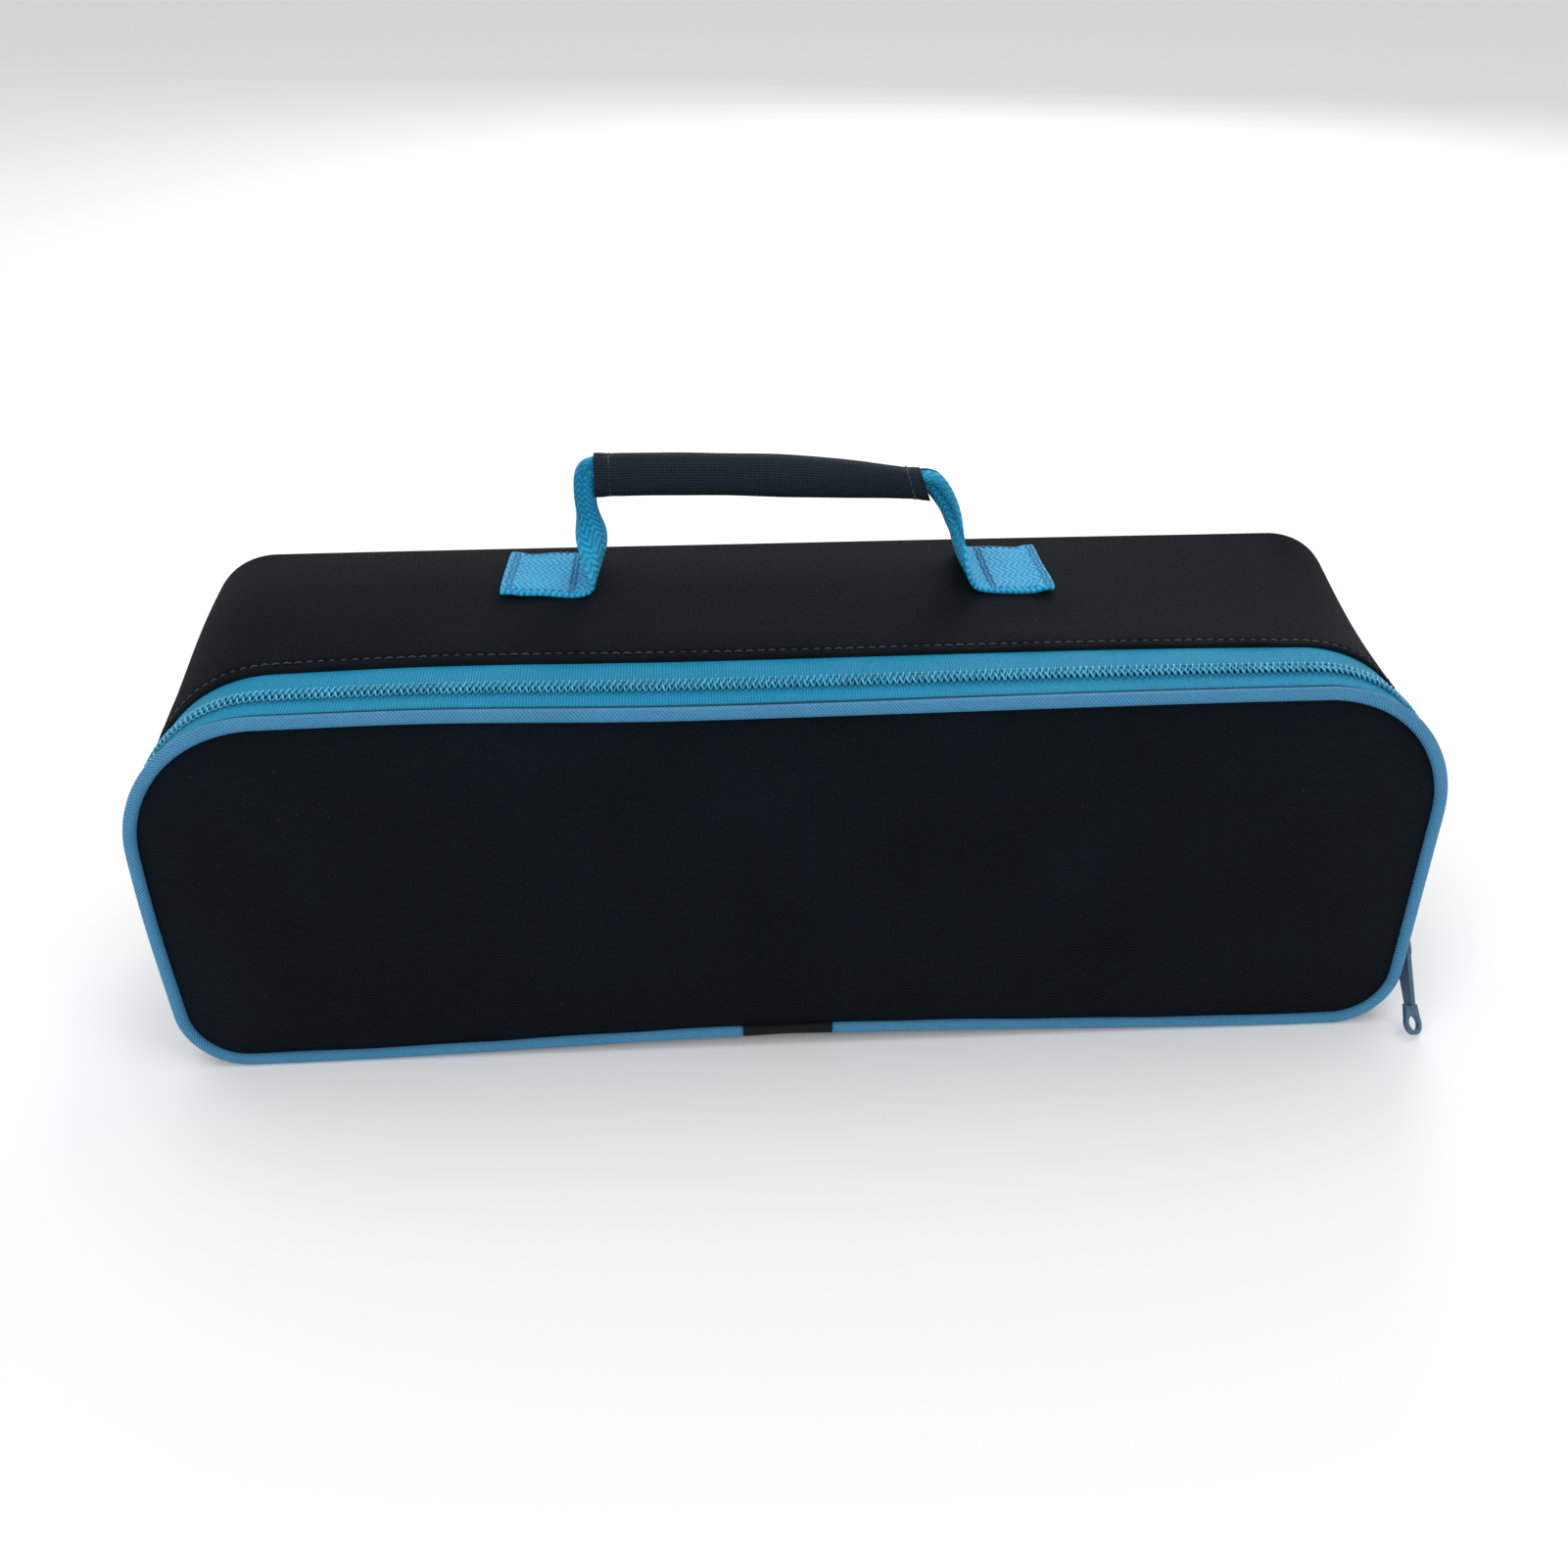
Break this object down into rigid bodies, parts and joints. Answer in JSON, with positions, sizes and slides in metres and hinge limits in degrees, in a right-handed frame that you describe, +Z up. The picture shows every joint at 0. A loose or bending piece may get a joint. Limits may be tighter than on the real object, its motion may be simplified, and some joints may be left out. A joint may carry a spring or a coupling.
{
  "type": "bowling ball bag",
  "caption": "Slim padded carry bag with a zipped front lid, corded edge, folding webbing handle and a sleeved hand grip.",
  "frame": {"origin": "middle of the base on the ground, on the base mount", "axes": "+X along the bag to the right seen from the front, +Y to the back, +Z up"},
  "size_m": [0.3873, 0.1294, 0.1642],
  "materials": {
    "black_weave": "matte",
    "black_foam": "matte",
    "lining_cloth": "satin",
    "binding_tape": "matte",
    "base_board_plastic": "matte",
    "black_thread": "satin",
    "blue_webbing": "satin",
    "blue_thread": "satin",
    "blue_zip_tape": "matte",
    "blue_coil": "satin",
    "blue_piping": "satin",
    "piping_filler": "matte",
    "blue_enamel": "satin",
    "stop_plastic": "satin"
  },
  "bodies": {
    "bag_body": {"zip_gusset": "black_weave", "gusset_foam": "black_foam", "gusset_lining": "lining_cloth", "gusset_topstitch": "black_thread", "base_gusset": "black_weave", "base_board": "base_board_plastic", "base_foam": "black_foam", "base_lining": "lining_cloth", "back_panel": "black_weave", "back_foam": "black_foam", "back_lining": "lining_cloth", "back_seam_binding": "binding_tape", "zip_tape_body": "blue_zip_tape", "zip_coil_body": "blue_coil", "zip_end_stops": "stop_plastic", "handle_anchor_left": "blue_webbing", "handle_anchor_right": "blue_webbing", "anchor_stitching": "blue_thread", "handle_backing_patches": "binding_tape"},
    "lid": {"front_panel": "black_weave", "front_foam": "black_foam", "front_lining": "lining_cloth", "piping_cover": "blue_piping", "piping_cord": "piping_filler", "piping_join_patch": "black_weave", "zip_tape_lid": "blue_zip_tape", "zip_coil_lid": "blue_coil", "lid_seam_binding": "binding_tape"},
    "handle": {"strap_left": "blue_webbing", "strap_right": "blue_webbing", "grip_core": "blue_webbing", "grip_sleeve": "black_weave"},
    "zip_slider": {"slider_body": "blue_enamel"},
    "zip_pull": {"pull_tab": "blue_enamel"}
  },
  "joints": [
    {"name": "lid_hinge", "type": "hinge", "parent": "bag_body", "child": "lid", "pos_m": [0, -0.0578, 0.0022], "axis": [1, 0, 0], "range_deg": [0, 85]},
    {"name": "handle_fold", "type": "hinge", "parent": "bag_body", "child": "handle", "pos_m": [0, 0.024, 0.124], "axis": [1, 0, 0], "range_deg": [-75, 75]},
    {"name": "zip_slide", "type": "slide", "parent": "bag_body", "child": "zip_slider", "axis": [0, 0, 1], "range_m": [0, 0.05]},
    {"name": "pull_flip", "type": "hinge", "parent": "zip_slider", "child": "zip_pull", "pos_m": [0.1938, -0.045, 0.0235], "axis": [0, -0.669, 0.7433], "range_deg": [0, 110]}
  ]
}
